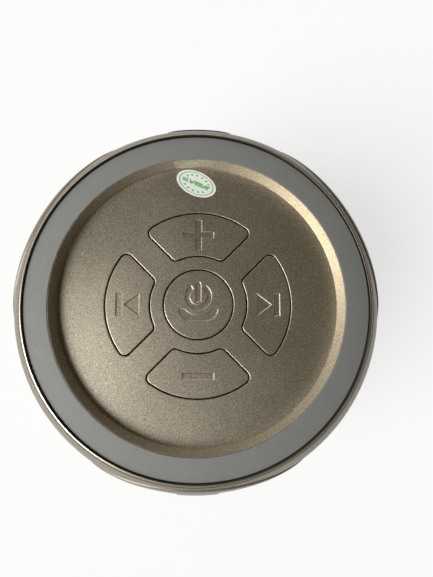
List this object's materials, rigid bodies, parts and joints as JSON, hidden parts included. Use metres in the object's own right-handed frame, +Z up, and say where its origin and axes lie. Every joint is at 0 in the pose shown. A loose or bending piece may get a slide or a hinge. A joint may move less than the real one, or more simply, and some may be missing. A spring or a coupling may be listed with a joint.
{
  "type": "portable wireless speaker",
  "caption": "Round drum-shaped portable wireless speaker with perforated grilles, a light ring and a dished top with press keys.",
  "frame": {"origin": "centre of the footprint on the table, under the middle of the drum", "axes": "+Z up through the middle of the drum, -Y towards the front grille with the small tab, +X to the right seen from the front"},
  "size_m": [0.1344, 0.1347, 0.0992],
  "materials": {
    "body_paint": "satin champagne paint with a fine metal grain on moulded plastic",
    "panel_paint": "satin champagne paint with a fine metal grain on moulded plastic",
    "key_paint": "satin champagne paint with a fine metal grain on moulded keycaps",
    "bead_paint": "glossy champagne lacquer on a moulded ring",
    "frame_paint": "satin champagne lacquer on a moulded frame",
    "light_diffuser": "milky translucent grey plastic, smooth",
    "grille_steel": "fine perforated steel sheet, painted dark champagne",
    "base_plastic": "moulded plastic, fine grain",
    "rubber": "soft black rubber, matt",
    "zinc_screws": "zinc plated, hexagon socket",
    "white_board": "white solder mask with lamp chips",
    "green_board": "green solder mask with parts soldered on",
    "switch_plastic": "moulded plastic, black",
    "port_plastic": "moulded plastic, dark grey, satin",
    "socket_tin": "tin plated sheet",
    "socket_plastic": "moulded plastic, black",
    "cell_wrap": "blue shrink film over a steel can",
    "clear_lens": "clear moulded light guide",
    "black_steel": "pressed steel, black paint",
    "ferrite": "sintered ferrite, dull",
    "plated_steel": "turned steel, plated",
    "spider_cloth": "corrugated resin-dipped cloth",
    "coil_copper": "enamelled wire on a former",
    "cone_paper": "pressed paper pulp, black"
  },
  "bodies": {
    "housing": {"main_housing": "body_paint", "bottom_cover": "base_plastic", "rubber_feet": "rubber", "cover_screws": "zinc_screws", "top_panel": "panel_paint", "rim_ring": "bead_paint", "light_ring": "light_diffuser", "light_board": "white_board", "key_board": "green_board", "key_switches": "switch_plastic", "panel_screws": "zinc_screws", "driver_screws": "zinc_screws", "driver_gaskets": "rubber", "port_panel": "port_plastic", "charging_socket": "socket_tin", "audio_socket": "socket_plastic", "card_socket": "socket_tin", "usb_socket": "socket_tin", "main_board": "green_board", "battery_cells": "cell_wrap", "microphone": "socket_tin", "status_lens": "clear_lens", "grille_front": "grille_steel", "grille_right": "grille_steel", "grille_left": "grille_steel", "frame_front": "frame_paint", "frame_right": "frame_paint", "frame_left": "frame_paint", "basket_front": "black_steel", "basket_right": "black_steel", "basket_left": "black_steel", "magnet_front": "ferrite", "magnet_right": "ferrite", "magnet_left": "ferrite", "yoke_front": "plated_steel", "yoke_right": "plated_steel", "yoke_left": "plated_steel", "spider_front": "spider_cloth", "spider_right": "spider_cloth", "spider_left": "spider_cloth", "surround_front": "rubber", "surround_right": "rubber", "surround_left": "rubber"},
    "plus_key": {"key_plus": "key_paint", "plunger_plus": "switch_plastic"},
    "minus_key": {"key_minus": "key_paint", "plunger_minus": "switch_plastic"},
    "previous_key": {"key_previous": "key_paint", "plunger_previous": "switch_plastic"},
    "next_key": {"key_next": "key_paint", "plunger_next": "switch_plastic"},
    "power_key": {"key_power": "key_paint", "plunger_power": "switch_plastic"},
    "front_cone": {"cone_front": "cone_paper", "voice_coil_front": "coil_copper"},
    "right_cone": {"cone_right": "cone_paper", "voice_coil_right": "coil_copper"},
    "left_cone": {"cone_left": "cone_paper", "voice_coil_left": "coil_copper"}
  },
  "joints": [
    {"name": "plus_press", "type": "slide", "parent": "housing", "child": "plus_key", "axis": [0, 0, -1], "range_m": [0, 0.0005], "stiffness_N_per_m": 3000},
    {"name": "minus_press", "type": "slide", "parent": "housing", "child": "minus_key", "axis": [0, 0, -1], "range_m": [0, 0.0005], "stiffness_N_per_m": 3000},
    {"name": "previous_press", "type": "slide", "parent": "housing", "child": "previous_key", "axis": [0, 0, -1], "range_m": [0, 0.0005], "stiffness_N_per_m": 3000},
    {"name": "next_press", "type": "slide", "parent": "housing", "child": "next_key", "axis": [0, 0, -1], "range_m": [0, 0.0005], "stiffness_N_per_m": 3000},
    {"name": "power_press", "type": "slide", "parent": "housing", "child": "power_key", "axis": [0, 0, -1], "range_m": [0, 0.0005], "stiffness_N_per_m": 3000},
    {"name": "front_cone_stroke", "type": "slide", "parent": "housing", "child": "front_cone", "axis": [0, -1, 0], "range_m": [-0.0012, 0.0012], "stiffness_N_per_m": 1500, "deforming": ["surround_front", "spider_front"]},
    {"name": "right_cone_stroke", "type": "slide", "parent": "housing", "child": "right_cone", "axis": [0.866, 0.5, 0], "range_m": [-0.0012, 0.0012], "stiffness_N_per_m": 1500, "deforming": ["surround_right", "spider_right"]},
    {"name": "left_cone_stroke", "type": "slide", "parent": "housing", "child": "left_cone", "axis": [-0.866, 0.5, 0], "range_m": [-0.0012, 0.0012], "stiffness_N_per_m": 1500, "deforming": ["surround_left", "spider_left"]}
  ]
}
